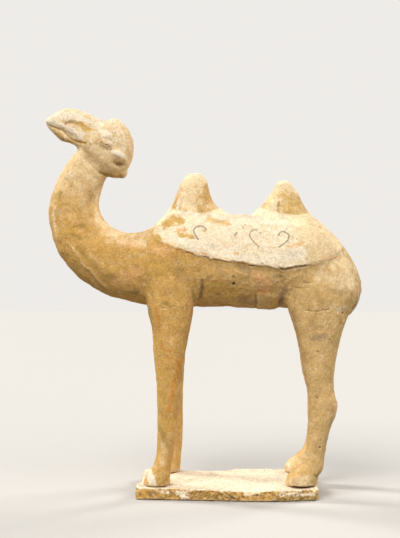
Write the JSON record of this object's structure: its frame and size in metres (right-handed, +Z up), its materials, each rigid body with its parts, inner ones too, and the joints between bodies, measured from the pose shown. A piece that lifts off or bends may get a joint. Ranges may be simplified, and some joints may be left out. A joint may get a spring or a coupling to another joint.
{
  "type": "terracotta camel figure",
  "caption": "Standing two-humped camel in fired clay on a thin slab, neck arched and head thrown up, with a low saddle cloth laid over its back.",
  "frame": {"origin": "centre of the slab's underside", "axes": "+Z up, -X the way the camel faces, -Y its left side, which the picture shows"},
  "size_m": [0.3171, 0.1115, 0.3822],
  "materials": {
    "slipped_clay": "unglazed buff earthenware with worn white slip, thin ink curls and traces of pink on the saddle cloth, earth stains and pits",
    "slab_clay": "unglazed buff earthenware, chalky pale on top, mottled brown and worn along its edges"
  },
  "bodies": {
    "root": {"camel": "slipped_clay", "base_slab": "slab_clay"}
  },
  "joints": []
}
